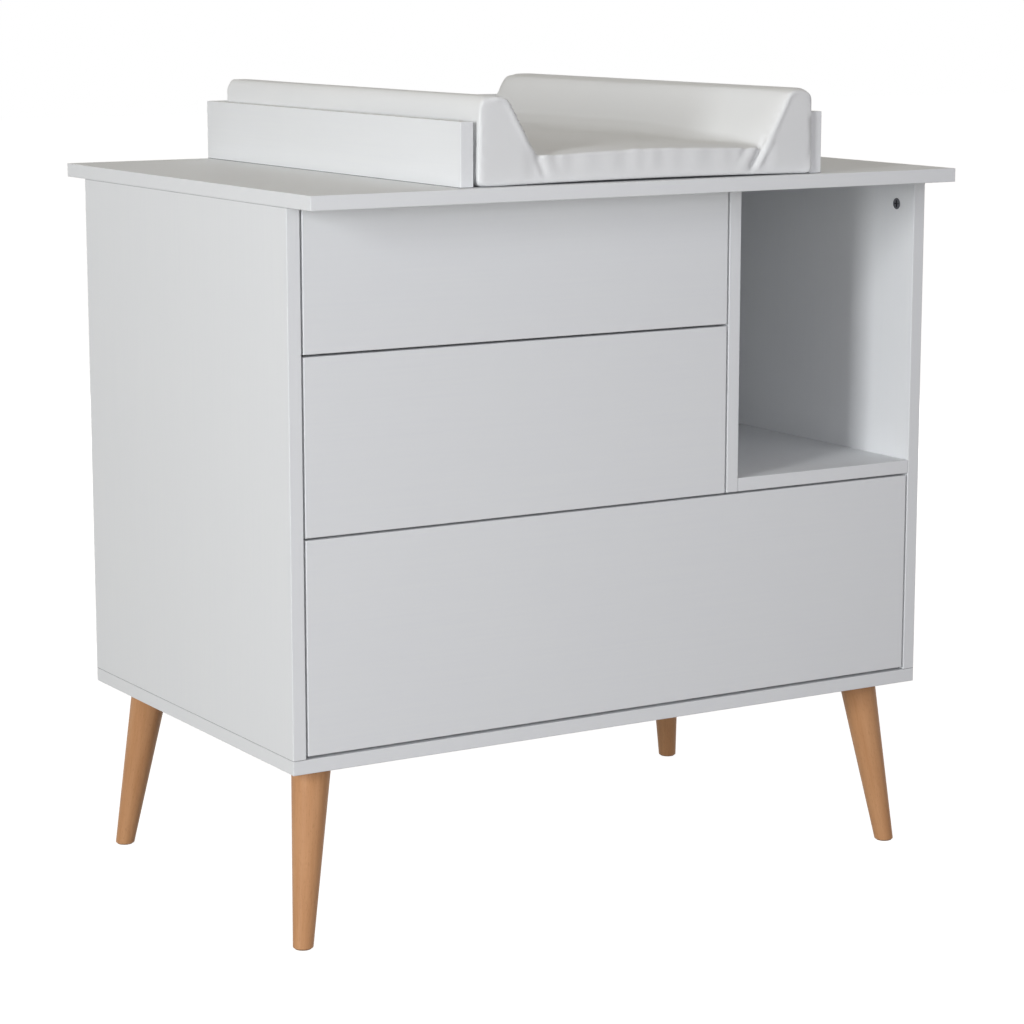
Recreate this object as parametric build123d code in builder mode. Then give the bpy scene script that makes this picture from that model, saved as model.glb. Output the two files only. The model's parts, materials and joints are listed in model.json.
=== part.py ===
from build123d import *
import os
from collections import namedtuple

# Changing table: a dresser with three handle-less drawers and an open compartment,
# a deep top with an upright tray on it, and a foam mat with two raised sides.
# Millimetres, +Z up, floor at Z = 0, front towards -Y, origin below the middle of the top.

# Driving dimensions of the carcass
carcass_width = 970.0
panel_thickness = 18.0
edge_radius = 0.8
compartment_width = 287.0
top_front_overhang = 63.0
top_rear_overhang = 59.0
rear_space = 30.0

# Driving dimensions of the back panel
back_panel_thickness = 3.0
back_panel_inset = 12.0
groove_depth = 6.0
groove_play = 0.3

# Driving dimensions of the drawers
base_gap = 4.0
drawer_gap = 3.0
bottom_front_height = 270.0
centre_front_height = 221.5
top_front_height = 174.5
drawer_side_thickness = 15.0
drawer_bottom_thickness = 3.0
drawer_bottom_lift = 10.0
drawer_box_lift = 14.0
drawer_headroom = 50.0
drawer_fixing_inset = 22.0

# Driving dimensions of the telescopic slides
slide_width = 12.7
slide_height = 45.0
slide_length = 500.0
slide_setback = 4.0
rail_sheet = 1.2
rail_play = 0.4
middle_rail_setback = 10.0
push_play = 4.0
push_unit_length = 24.0
push_unit_depth = 7.0
rail_screw_inset = 60.0
rail_screw_diameter = 6.0
rail_screw_depth = 10.0
rail_screw_head_diameter = 9.0
rail_screw_head_height = 1.4

# Driving dimensions of the tray and the mat
tray_board_height = 80.0
tray_front_setback = 16.0
tray_screw_inset = 60.0
mat_width = 500.0
mat_length = 681.0
mat_height = 112.0
mat_side_play = 4.0
mat_rear_play = 1.0
mat_shift = 1.0
mat_seat_gap = 0.3
pad_edge_thickness = 38.0
pad_crown = 4.0
pad_width = 340.0
bolster_top_width = 42.0
bolster_outer_radius = 15.0
bolster_inner_radius = 18.0
bolster_foot_radius = 16.0
mat_end_radius = 10.0

# Driving dimensions of the legs
leg_height = 232.0
leg_top_diameter = 51.0
leg_foot_diameter = 26.0
leg_foot_radius = 1.6
leg_side_inset = 55.0
leg_end_inset = 58.0
leg_splay = 31.0
leg_bolt_diameter = 8.0
leg_bolt_depth = 40.0
leg_insert_diameter = 11.0
leg_insert_flange_diameter = 22.0
leg_insert_flange_height = 1.5
leg_pin_diameter = 6.0
leg_pin_length = 20.0
leg_pin_panel_depth = 8.0
leg_pin_offset = 10.0
glide_thickness = 1.2
glide_rim = 1.6
glide_stem_diameter = 5.0
glide_stem_length = 10.0

# Driving dimensions of the fasteners
fit_gap = 0.2
cam_diameter = 15.0
cam_distance = 35.0
cam_bite = 4.0
cam_front_inset = 38.0
cam_rear_inset = 70.0
cam_recess_length = 9.0
cam_recess_width = 1.8
cam_recess_depth = 1.5
cam_bolt_diameter = 6.0
cam_bolt_neck_diameter = 4.0
cam_bolt_neck_length = 5.0
cam_bolt_head_length = 4.0
cam_bolt_thread_diameter = 5.0
cam_bolt_thread_length = 11.0
dowel_diameter = 8.0
dowel_length = 30.0
dowel_face_depth = 10.0
dowel_offset = 50.0
tray_screw_diameter = 4.0
tray_screw_length = 50.0
countersink_diameter = 8.0
countersink_depth = 3.0
drawer_screw_diameter = 4.0
drawer_screw_length = 40.0
panel_screw_diameter = 3.5
panel_screw_length = 16.0
panel_screw_head_diameter = 7.0
panel_screw_head_height = 2.0
panel_screw_inset = 60.0

# Driving dimensions of the wall brackets
bracket_spacing = 700.0
bracket_width = 40.0
bracket_sheet = 2.0
bracket_drop = 45.0
bracket_wall_hole = 5.5
bracket_wall_hole_drop = 28.0
bracket_carcass_gap = 5.0
bracket_screw_spacing = 22.0

# Places in X
half_width = carcass_width / 2
inner_half = half_width - panel_thickness
divider_right = inner_half - compartment_width
divider_left = divider_right - panel_thickness

# Places in Y
drawer_depth = slide_length
slide_reach = panel_thickness + slide_setback + slide_length + push_play + push_unit_length
carcass_depth = slide_reach + rear_space + back_panel_thickness + back_panel_inset
top_depth = top_front_overhang + carcass_depth + top_rear_overhang
top_front = -top_depth / 2
top_rear = top_depth / 2
front = top_front + top_front_overhang
rear = front + carcass_depth
back_front = rear - back_panel_inset - back_panel_thickness
inner_rear = back_front - groove_play
front_back = front + panel_thickness
box_rear = front_back + drawer_depth
rail_front = front_back + slide_setback
inner_rail_rear = rail_front + slide_length
outer_rail_rear = inner_rail_rear + push_play + push_unit_length

# Places in Z
floor_top = leg_height + panel_thickness
bottom_front_low = floor_top + base_gap
shelf_low = bottom_front_low + bottom_front_height + drawer_gap
shelf_middle = shelf_low + panel_thickness / 2
top_front_low = shelf_low + centre_front_height + drawer_gap
top_low = top_front_low + top_front_height + drawer_gap
surface = top_low + panel_thickness

# Distances from the panel face across a slide
middle_web = rail_sheet + rail_screw_head_height + rail_play
inner_web = slide_width - rail_sheet
outer_half = slide_height / 2
middle_half = outer_half - rail_sheet - rail_play
inner_half_height = middle_half - rail_sheet - rail_play

LEFT = Vector(-1, 0, 0)
RIGHT = Vector(1, 0, 0)
FRONT = Vector(0, -1, 0)
REAR = Vector(0, 1, 0)
UP = Vector(0, 0, 1)
DOWN = Vector(0, 0, -1)

# A cam joint: a point where two panels meet, at the middle of the cam's panel, the direction
# from there into the cam's panel, the face that the cam is let into, and that panel's thickness.
CamJoint = namedtuple("CamJoint", "point into face thickness")

# A drawer: its name, the faces it runs between, its front's low edge and height.
Drawer = namedtuple("Drawer", "name left right low front_height")

os.makedirs("parts", exist_ok=True)


def save(piece, name):
    """Label a finished piece and write it."""
    piece.part.label = name
    export_step(piece.part, f"parts/{name}.step")


def slab(x, y, z, mode=Mode.ADD):
    """A box between the two ends given for each axis."""
    with Locations((sum(x) / 2, sum(y) / 2, sum(z) / 2)):
        Box(x[1] - x[0], y[1] - y[0], z[1] - z[0], mode=mode)


def board(x, y, z):
    """A panel with softened edges."""
    slab(x, y, z)
    fillet(edges(), edge_radius)


def rods(starts, direction, diameter, length, mode=Mode.ADD):
    """Round rods that run from each start along one direction."""
    with Locations(*[Plane(start, z_dir=direction) for start in starts]):
        Cylinder(diameter / 2, length, align=(Align.CENTER, Align.CENTER, Align.MIN), mode=mode)


def drill(starts, direction, diameter, depth):
    """Round holes with room for a rod of the given diameter and depth."""
    rods(starts, direction, diameter + 2 * fit_gap, depth + fit_gap, Mode.SUBTRACT)


def countersinks(starts, direction, gap, mode):
    """Conical screw heads, or their seats, with the wide end at each start."""
    with Locations(*[Plane(start, z_dir=direction) for start in starts]):
        Cone(
            countersink_diameter / 2 + gap,
            tray_screw_diameter / 2 + gap,
            countersink_depth,
            align=(Align.CENTER, Align.CENTER, Align.MIN),
            mode=mode,
        )


# Cam joints, dowels and the holes for both


def cam_plane(joint):
    """Plane on the cam's outer end, Z into the panel, X towards the joint."""
    centre = joint.point + joint.into * cam_distance + joint.face * (joint.thickness / 2)
    return Plane(centre, x_dir=joint.into * -1, z_dir=joint.face * -1)


def drill_cam_panel(joints):
    """Holes in the panel that holds the cams: a pocket for each cam and a bore for its bolt."""
    depth = joints[0].thickness / 2 + cam_bite + fit_gap
    with Locations(*[cam_plane(joint) for joint in joints]):
        Cylinder(
            cam_diameter / 2 + fit_gap,
            depth,
            align=(Align.CENTER, Align.CENTER, Align.MIN),
            mode=Mode.SUBTRACT,
        )
    for joint in joints:
        drill([joint.point], joint.into, cam_bolt_diameter, cam_distance)


def drill_bolt_panel(joints):
    """Holes in the panel that the cam bolts are screwed into."""
    for joint in joints:
        drill([joint.point], joint.into * -1, cam_bolt_thread_diameter, cam_bolt_thread_length)


def save_cam_locks(joints, name):
    """Cams with a slot for the bolt's head and a cross recess, all alike."""
    thickness = joints[0].thickness
    slot = cam_bolt_diameter + 2 * fit_gap
    slot_rear = -cam_bolt_head_length / 2 - fit_gap
    with BuildPart() as cam:
        rods([(0, 0, 0)], UP, cam_diameter, thickness / 2 + cam_bite)
        slab(
            (slot_rear, cam_diameter),
            (-slot / 2, slot / 2),
            (thickness / 2 - slot / 2, thickness / 2 + slot / 2),
            Mode.SUBTRACT,
        )
        Box(cam_recess_length, cam_recess_width, 2 * cam_recess_depth, mode=Mode.SUBTRACT)
        Box(cam_recess_width, cam_recess_length, 2 * cam_recess_depth, mode=Mode.SUBTRACT)
    with BuildPart() as cam_locks:
        with Locations(*[cam_plane(joint) for joint in joints]):
            add(cam.part)
    save(cam_locks, name)


def save_cam_bolts(joints, name):
    """Bolts with a thread, a shank, a thin neck and a head inside the cam."""
    head_start = cam_distance - cam_bolt_head_length / 2
    neck_start = head_start - cam_bolt_neck_length
    with BuildPart() as bolt:
        rods([(0, 0, -cam_bolt_thread_length)], UP, cam_bolt_thread_diameter, cam_bolt_thread_length)
        rods([(0, 0, 0)], UP, cam_bolt_diameter, neck_start)
        rods([(0, 0, neck_start)], UP, cam_bolt_neck_diameter, cam_bolt_neck_length)
        rods([(0, 0, head_start)], UP, cam_bolt_diameter, cam_bolt_head_length)
    with BuildPart() as cam_bolts:
        with Locations(*[Plane(joint.point, z_dir=joint.into) for joint in joints]):
            add(bolt.part)
    save(cam_bolts, name)


def dowel_points(joints):
    """One dowel beside each cam bolt, on the side away from the panel's nearest end."""
    middle = (front + rear) / 2
    for joint in joints:
        step = dowel_offset if joint.point.Y < middle else -dowel_offset
        yield joint, joint.point + REAR * step


def drill_dowels(joints, inwards):
    """Dowel holes in the cam's panel, or in the panel that it meets."""
    for joint, point in dowel_points(joints):
        if inwards:
            drill([point], joint.into, dowel_diameter, dowel_length - dowel_face_depth)
        else:
            drill([point], joint.into * -1, dowel_diameter, dowel_face_depth)


# The joints of the carcass
cam_rows = (front + cam_front_inset, rear - cam_rear_inset)


def joint_pair(x, z, into, face):
    """A front and a rear cam joint of one carcass panel."""
    return [CamJoint(Vector(x, y, z), into, face, panel_thickness) for y in cam_rows]


side_middle = half_width - panel_thickness / 2
divider_middle = divider_right - panel_thickness / 2
left_top_joints = joint_pair(-side_middle, top_low, DOWN, RIGHT)
right_top_joints = joint_pair(side_middle, top_low, DOWN, LEFT)
divider_top_joints = joint_pair(divider_middle, top_low, DOWN, LEFT)
left_floor_joints = joint_pair(-side_middle, floor_top, UP, RIGHT)
right_floor_joints = joint_pair(side_middle, floor_top, UP, LEFT)
shelf_left_joints = joint_pair(divider_right, shelf_middle, RIGHT, DOWN)
shelf_right_joints = joint_pair(inner_half, shelf_middle, LEFT, DOWN)
top_joints = left_top_joints + right_top_joints + divider_top_joints
floor_joints = left_floor_joints + right_floor_joints
shelf_joints = shelf_left_joints + shelf_right_joints
carcass_joints = top_joints + floor_joints + shelf_joints

# The three drawers
drawers = [
    Drawer("bottom_drawer", -inner_half, inner_half, bottom_front_low, bottom_front_height),
    Drawer("centre_drawer", -inner_half, divider_left, shelf_low, centre_front_height),
    Drawer("top_drawer", -inner_half, divider_left, top_front_low, top_front_height),
]


def box_low(drawer):
    return drawer.low + drawer_box_lift


def box_high(drawer):
    return drawer.low + drawer.front_height - drawer_headroom


def slide_middle(drawer):
    return (box_low(drawer) + box_high(drawer)) / 2


def slide_faces(drawer):
    """The two panel faces that carry a drawer's slides, with the direction across each slide."""
    return ((drawer.left, RIGHT), (drawer.right, LEFT))


def rail_screw_points(face_x, drawer):
    """Where the outer rail on one panel face is screwed on."""
    rows = (rail_front + rail_screw_inset, inner_rail_rear - rail_screw_inset)
    return [Vector(face_x, y, slide_middle(drawer)) for y in rows]


def drill_rail_screws(face_x, across, held_drawers):
    """Screw holes for the outer rails in one panel face."""
    for drawer in held_drawers:
        drill(rail_screw_points(face_x, drawer), across * -1, rail_screw_diameter, rail_screw_depth)


# Screws through the back panel into the divider and the shelf
screw_row_low = shelf_low + panel_thickness + panel_screw_inset
screw_row_high = top_low - panel_screw_inset
back_screw_points = [
    Vector(divider_middle, rear - back_panel_inset, screw_row_low),
    Vector(divider_middle, rear - back_panel_inset, screw_row_high),
    Vector(divider_right + panel_screw_inset, rear - back_panel_inset, shelf_middle),
    Vector(inner_half - panel_screw_inset, rear - back_panel_inset, shelf_middle),
]

# Wall brackets and their screws, under the rear overhang
bracket_middles = (-bracket_spacing / 2, bracket_spacing / 2)
bracket_front = rear + bracket_carcass_gap
bracket_screw_row = (bracket_front + top_rear) / 2
bracket_screw_points = [
    Vector(middle + side * bracket_screw_spacing / 2, bracket_screw_row, top_low - bracket_sheet)
    for middle in bracket_middles
    for side in (-1, 1)
]

# Tray boards and the screws that hold them from below
tray_half = mat_width / 2 + mat_side_play
tray_front = top_front + tray_front_setback
tray_rear_face = top_rear - panel_thickness
tray_middle = tray_half + panel_thickness / 2
tray_rows = (
    tray_front + tray_screw_inset,
    (tray_front + top_rear) / 2,
    tray_rear_face - tray_screw_inset,
)
left_tray_screws = [Vector(-tray_middle, y, top_low) for y in tray_rows]
right_tray_screws = [Vector(tray_middle, y, top_low) for y in tray_rows]
rear_tray_screws = [
    Vector(side * (tray_half - tray_screw_inset), top_rear - panel_thickness / 2, top_low)
    for side in (-1, 1)
]
tray_screw_points = left_tray_screws + right_tray_screws + rear_tray_screws

# Legs: a name, the side in X, the end in Y
legs = [
    ("front_left_leg", -1, -1),
    ("front_right_leg", 1, -1),
    ("rear_left_leg", -1, 1),
    ("rear_right_leg", 1, 1),
]
leg_x = half_width - leg_side_inset
leg_y = carcass_depth / 2 - leg_end_inset
carcass_middle = (front + rear) / 2


def leg_top(side, end):
    return Vector(side * leg_x, carcass_middle + end * leg_y, leg_height)


def leg_foot(side, end):
    return leg_top(side, end) + Vector(side * leg_splay, end * leg_splay, glide_thickness - leg_height)


def leg_pin_place(side, end):
    return leg_top(side, end) + Vector(side * leg_pin_offset, end * leg_pin_offset, 0)


leg_tops = [leg_top(side, end) for name, side, end in legs]
leg_feet = [leg_foot(side, end) for name, side, end in legs]
leg_pin_tops = [leg_pin_place(side, end) + UP * leg_pin_panel_depth for name, side, end in legs]


def cut_back_groove(x, z):
    """Groove for the back panel."""
    slab(x, (back_front - groove_play, rear - back_panel_inset + groove_play), z, Mode.SUBTRACT)


# Side panels
with BuildPart() as left_side_panel:
    board((-half_width, -inner_half), (front, rear), (floor_top, top_low))
    cut_back_groove((-inner_half - groove_depth, -inner_half), (floor_top, top_low))
    drill_cam_panel(left_top_joints)
    drill_cam_panel(left_floor_joints)
    drill_dowels(left_top_joints + left_floor_joints, inwards=True)
    drill_rail_screws(-inner_half, RIGHT, drawers)
save(left_side_panel, "left_side_panel")

with BuildPart() as right_side_panel:
    board((inner_half, half_width), (front, rear), (floor_top, top_low))
    cut_back_groove((inner_half, inner_half + groove_depth), (floor_top, top_low))
    drill_cam_panel(right_top_joints)
    drill_cam_panel(right_floor_joints)
    drill_dowels(right_top_joints + right_floor_joints, inwards=True)
    drill_bolt_panel(shelf_right_joints)
    drill_dowels(shelf_right_joints, inwards=False)
    drill_rail_screws(inner_half, LEFT, drawers[:1])
save(right_side_panel, "right_side_panel")

# Bottom panel, under the sides, with bores for the leg inserts and pins
with BuildPart() as bottom_panel:
    board((-half_width, half_width), (front, rear), (leg_height, floor_top))
    cut_back_groove(
        (-inner_half - groove_depth, inner_half + groove_depth),
        (floor_top - groove_depth, floor_top),
    )
    drill_bolt_panel(floor_joints)
    drill_dowels(floor_joints, inwards=False)
    drill(leg_tops, UP, leg_insert_diameter, panel_thickness)
    drill(leg_pin_tops, DOWN, leg_pin_diameter, leg_pin_panel_depth)
save(bottom_panel, "bottom_panel")

# Divider between the upper drawers and the compartment
with BuildPart() as divider_panel:
    board((divider_left, divider_right), (front, inner_rear), (shelf_low, top_low))
    drill_cam_panel(divider_top_joints)
    drill_dowels(divider_top_joints, inwards=True)
    drill_bolt_panel(shelf_left_joints)
    drill_dowels(shelf_left_joints, inwards=False)
    drill_rail_screws(divider_left, LEFT, drawers[1:])
    drill(back_screw_points[:2], FRONT, panel_screw_diameter, panel_screw_length)
save(divider_panel, "divider_panel")

# Shelf of the compartment
with BuildPart() as compartment_shelf:
    board((divider_right, inner_half), (front, inner_rear), (shelf_low, shelf_low + panel_thickness))
    drill_cam_panel(shelf_joints)
    drill_dowels(shelf_joints, inwards=True)
    drill(back_screw_points[2:], FRONT, panel_screw_diameter, panel_screw_length)
save(compartment_shelf, "compartment_shelf")

# Back panel, held in the grooves
with BuildPart() as back_panel:
    slab(
        (-inner_half - groove_depth + groove_play, inner_half + groove_depth - groove_play),
        (back_front, rear - back_panel_inset),
        (floor_top - groove_depth + groove_play, top_low - groove_play),
    )
    drill(back_screw_points, FRONT, panel_screw_diameter, back_panel_thickness)
save(back_panel, "back_panel")

# Top panel
with BuildPart() as top_panel:
    board((-half_width, half_width), (top_front, top_rear), (top_low, surface))
    drill_bolt_panel(top_joints)
    drill_dowels(top_joints, inwards=False)
    drill(tray_screw_points, UP, tray_screw_diameter, panel_thickness)
    countersinks(tray_screw_points, UP, fit_gap, Mode.SUBTRACT)
    drill(bracket_screw_points, UP, panel_screw_diameter, panel_screw_length)
save(top_panel, "top_panel")


def save_tray_board(name, x, y, screws):
    """An upright board of the tray, with bores for its screws."""
    with BuildPart() as tray_board:
        board(x, y, (surface, surface + tray_board_height))
        drill(screws, UP, tray_screw_diameter, tray_screw_length)
    save(tray_board, name)


save_tray_board(
    "left_tray_board", (-tray_half - panel_thickness, -tray_half), (tray_front, top_rear), left_tray_screws
)
save_tray_board(
    "right_tray_board", (tray_half, tray_half + panel_thickness), (tray_front, top_rear), right_tray_screws
)
save_tray_board("rear_tray_board", (-tray_half, tray_half), (tray_rear_face, top_rear), rear_tray_screws)

# Changing mat: a padded middle between two raised sides with rounded tops and ends
mat_rear = tray_rear_face - mat_rear_play
mat_half = mat_width / 2
pad_half = pad_width / 2
shoulder = mat_half - bolster_top_width
mat_plane = Plane((mat_shift, mat_rear, surface + mat_seat_gap), x_dir=RIGHT, z_dir=FRONT)
with BuildPart() as changing_mat:
    with BuildSketch(mat_plane):
        with BuildLine():
            Polyline(
                (-pad_half, pad_edge_thickness),
                (-shoulder, mat_height),
                (-mat_half, mat_height),
                (-mat_half, 0),
                (mat_half, 0),
                (mat_half, mat_height),
                (shoulder, mat_height),
                (pad_half, pad_edge_thickness),
            )
            ThreePointArc(
                (pad_half, pad_edge_thickness),
                (0, pad_edge_thickness + pad_crown),
                (-pad_half, pad_edge_thickness),
            )
        make_face()
        corners = vertices().group_by(Axis.Y)
        fillet(corners[-1].sort_by(Axis.X)[1:3], bolster_inner_radius)
        fillet(vertices().group_by(Axis.Y)[-1].sort_by(Axis.X)[::3], bolster_outer_radius)
        fillet(corners[1], bolster_foot_radius)
    extrude(amount=mat_length)
    end_edges = edges().filter_by(GeomType.LINE).filter_by(Axis.Y, reverse=True)
    end_edges = end_edges + edges().filter_by(GeomType.CIRCLE)
    fillet([edge for edge in end_edges if edge.center().Z > surface + 2 * mat_seat_gap], mat_end_radius)
save(changing_mat, "changing_mat")

# Legs: round and tapered, leaning outwards, cut level at both ends
for name, side, end in legs:
    top_point = leg_top(side, end)
    foot_point = leg_foot(side, end)
    with BuildPart() as leg:
        with BuildSketch(Plane(foot_point)):
            Circle(leg_foot_diameter / 2)
        with BuildSketch(Plane(top_point)):
            Circle(leg_top_diameter / 2)
        loft()
        fillet(edges().group_by(Axis.Z)[0], leg_foot_radius)
        drill([top_point], DOWN, leg_bolt_diameter, leg_bolt_depth)
        drill([leg_pin_place(side, end)], DOWN, leg_pin_diameter, leg_pin_length - leg_pin_panel_depth)
        drill([foot_point], UP, glide_stem_diameter, glide_stem_length)
    save(leg, name)

# Leg hardware, four of each
with BuildPart() as leg_bolts:
    bolt_ends = [top + DOWN * leg_bolt_depth for top in leg_tops]
    rods(bolt_ends, UP, leg_bolt_diameter, leg_bolt_depth + panel_thickness)
save(leg_bolts, "leg_bolts")

with BuildPart() as leg_inserts:
    rods(leg_tops, UP, leg_insert_diameter, panel_thickness)
    flange_seats = [top + UP * panel_thickness for top in leg_tops]
    rods(flange_seats, UP, leg_insert_flange_diameter, leg_insert_flange_height)
    drill(leg_tops, UP, leg_bolt_diameter, panel_thickness + leg_insert_flange_height)
save(leg_inserts, "leg_inserts")

with BuildPart() as leg_pins:
    rods(leg_pin_tops, DOWN, leg_pin_diameter, leg_pin_length)
save(leg_pins, "leg_pins")

with BuildPart() as leg_glides:
    glide_diameter = leg_foot_diameter - 2 * leg_foot_radius - glide_rim
    rods(leg_feet, DOWN, glide_diameter, glide_thickness)
    rods(leg_feet, UP, glide_stem_diameter, glide_stem_length)
save(leg_glides, "leg_glides")

# Carcass fasteners
save_cam_locks(carcass_joints, "cam_locks")
save_cam_bolts(carcass_joints, "cam_bolts")

with BuildPart() as panel_dowels:
    for joint, point in dowel_points(carcass_joints):
        rods([point - joint.into * dowel_face_depth], joint.into, dowel_diameter, dowel_length)
save(panel_dowels, "panel_dowels")

with BuildPart() as tray_screws:
    rods(tray_screw_points, UP, tray_screw_diameter, tray_screw_length)
    countersinks(tray_screw_points, UP, 0, Mode.ADD)
save(tray_screws, "tray_screws")


def pan_head_screws(points, direction):
    """Screws with a flat head on the outside of what they hold."""
    rods(points, direction, panel_screw_diameter, panel_screw_length)
    rods(points, direction * -1, panel_screw_head_diameter, panel_screw_head_height)


with BuildPart() as panel_screws:
    pan_head_screws(back_screw_points, FRONT)
    pan_head_screws(bracket_screw_points, UP)
save(panel_screws, "panel_screws")

# Wall brackets: a leg under the top and a leg against the wall
with BuildPart() as wall_brackets:
    for middle in bracket_middles:
        across = (middle - bracket_width / 2, middle + bracket_width / 2)
        slab(across, (bracket_front, top_rear), (top_low - bracket_sheet, top_low))
        slab(across, (top_rear - bracket_sheet, top_rear), (top_low - bracket_drop, top_low))
    wall_holes = [Vector(x, top_rear, top_low - bracket_wall_hole_drop) for x in bracket_middles]
    rods(wall_holes, FRONT, bracket_wall_hole, bracket_sheet, Mode.SUBTRACT)
    drill(bracket_screw_points, UP, panel_screw_diameter, bracket_sheet)
save(wall_brackets, "wall_brackets")


# Telescopic slides


def channel(face_x, across, web, flange, y, middle, half_height):
    """A rail: a web and two flanges, placed by distances across the slide from a panel face."""

    def reach(ends):
        return sorted(face_x + across.X * distance for distance in ends)

    slab(reach(web), y, (middle - half_height, middle + half_height))
    slab(reach(flange), y, (middle + half_height - rail_sheet, middle + half_height))
    slab(reach(flange), y, (middle - half_height, middle - half_height + rail_sheet))


with BuildPart() as outer_rails:
    for drawer in drawers:
        for face_x, across in slide_faces(drawer):
            channel(
                face_x,
                across,
                (0, rail_sheet),
                (0, inner_web - 2 * rail_play),
                (rail_front, outer_rail_rear),
                slide_middle(drawer),
                outer_half,
            )
            drill(rail_screw_points(face_x, drawer), across, rail_screw_diameter, rail_sheet)
save(outer_rails, "outer_rails")

with BuildPart() as outer_rail_screws:
    for drawer in drawers:
        for face_x, across in slide_faces(drawer):
            heads = [point + across * rail_sheet for point in rail_screw_points(face_x, drawer)]
            rods(heads, across, rail_screw_head_diameter, rail_screw_head_height)
            rods(heads, across * -1, rail_screw_diameter, rail_sheet + rail_screw_depth)
save(outer_rail_screws, "outer_rail_screws")

with BuildPart() as push_units:
    for drawer in drawers:
        for face_x, across in slide_faces(drawer):
            ends = (face_x + across.X * rail_sheet, face_x + across.X * (rail_sheet + push_unit_depth))
            height = (slide_middle(drawer) - inner_half_height, slide_middle(drawer) + inner_half_height)
            slab(sorted(ends), (outer_rail_rear - push_unit_length, outer_rail_rear), height)
save(push_units, "push_units")

for drawer in drawers:
    with BuildPart() as middle_rails:
        for face_x, across in slide_faces(drawer):
            channel(
                face_x,
                across,
                (middle_web, middle_web + rail_sheet),
                (middle_web, inner_web - rail_play),
                (rail_front + middle_rail_setback, inner_rail_rear - middle_rail_setback),
                slide_middle(drawer),
                middle_half,
            )
    save(middle_rails, f"{drawer.name}_middle_rails")

    with BuildPart() as inner_rails:
        for face_x, across in slide_faces(drawer):
            channel(
                face_x,
                across,
                (inner_web, slide_width),
                (middle_web + rail_sheet + rail_play, slide_width),
                (rail_front, inner_rail_rear),
                slide_middle(drawer),
                inner_half_height,
            )
    save(inner_rails, f"{drawer.name}_inner_rails")


# Drawer boxes


def fixing_heights(drawer):
    """Heights of the upper and lower fixings of a drawer's sides."""
    return (box_low(drawer) + drawer_fixing_inset, box_high(drawer) - drawer_fixing_inset)


def drawer_joints(drawer, face_x, across):
    """Cam joints between a drawer's front and one of its sides, let in from outside."""
    x = face_x + across.X * (slide_width + drawer_side_thickness / 2)
    return [
        CamJoint(Vector(x, front_back, z), REAR, across * -1, drawer_side_thickness)
        for z in fixing_heights(drawer)
    ]


def back_screws(drawer, face_x, across):
    """Where the screws through one side into the drawer's back start."""
    x = face_x + across.X * slide_width
    return [Vector(x, box_rear - drawer_side_thickness / 2, z) for z in fixing_heights(drawer)]


def cut_bottom_groove(drawer, x, y):
    """Groove for the drawer's bottom."""
    low = box_low(drawer) + drawer_bottom_lift
    slab(x, y, (low - groove_play, low + drawer_bottom_thickness + groove_play), Mode.SUBTRACT)


for drawer in drawers:
    sides = slide_faces(drawer)
    joints = [joint for face_x, across in sides for joint in drawer_joints(drawer, face_x, across)]
    box_left = drawer.left + slide_width
    box_right = drawer.right - slide_width
    inside_left = box_left + drawer_side_thickness
    inside_right = box_right - drawer_side_thickness
    bottom_low = box_low(drawer) + drawer_bottom_lift
    bottom_high = bottom_low + drawer_bottom_thickness

    with BuildPart() as drawer_front:
        board(
            (drawer.left + drawer_gap, drawer.right - drawer_gap),
            (front, front_back),
            (drawer.low, drawer.low + drawer.front_height),
        )
        cut_bottom_groove(
            drawer,
            (inside_left - groove_depth, inside_right + groove_depth),
            (front_back - groove_depth, front_back),
        )
        drill_bolt_panel(joints)
    save(drawer_front, f"{drawer.name}_front")

    for side_name, (face_x, across) in zip(("left", "right"), sides):
        outside = face_x + across.X * slide_width
        inside = outside + across.X * drawer_side_thickness
        groove_end = inside - across.X * groove_depth
        with BuildPart() as drawer_side:
            board(sorted((outside, inside)), (front_back, box_rear), (box_low(drawer), box_high(drawer)))
            cut_bottom_groove(drawer, sorted((inside, groove_end)), (front_back, box_rear))
            drill_cam_panel(drawer_joints(drawer, face_x, across))
            screws = back_screws(drawer, face_x, across)
            drill(screws, across, drawer_screw_diameter, drawer_side_thickness)
            countersinks(screws, across, fit_gap, Mode.SUBTRACT)
        save(drawer_side, f"{drawer.name}_{side_name}_side")

    with BuildPart() as drawer_back:
        board(
            (inside_left, inside_right),
            (box_rear - drawer_side_thickness, box_rear),
            (bottom_high + groove_play, box_high(drawer)),
        )
        for face_x, across in sides:
            screws = back_screws(drawer, face_x, across)
            drill(screws, across, drawer_screw_diameter, drawer_screw_length)
    save(drawer_back, f"{drawer.name}_back")

    with BuildPart() as drawer_bottom:
        slab(
            (inside_left - groove_depth + groove_play, inside_right + groove_depth - groove_play),
            (front_back - groove_depth + groove_play, box_rear),
            (bottom_low, bottom_high),
        )
    save(drawer_bottom, f"{drawer.name}_bottom")

    with BuildPart() as drawer_screws:
        for face_x, across in sides:
            screws = back_screws(drawer, face_x, across)
            rods(screws, across, drawer_screw_diameter, drawer_screw_length)
            countersinks(screws, across, 0, Mode.ADD)
    save(drawer_screws, f"{drawer.name}_back_screws")

    save_cam_locks(joints, f"{drawer.name}_cam_locks")
    save_cam_bolts(joints, f"{drawer.name}_cam_bolts")
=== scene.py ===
import json
import math

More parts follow.
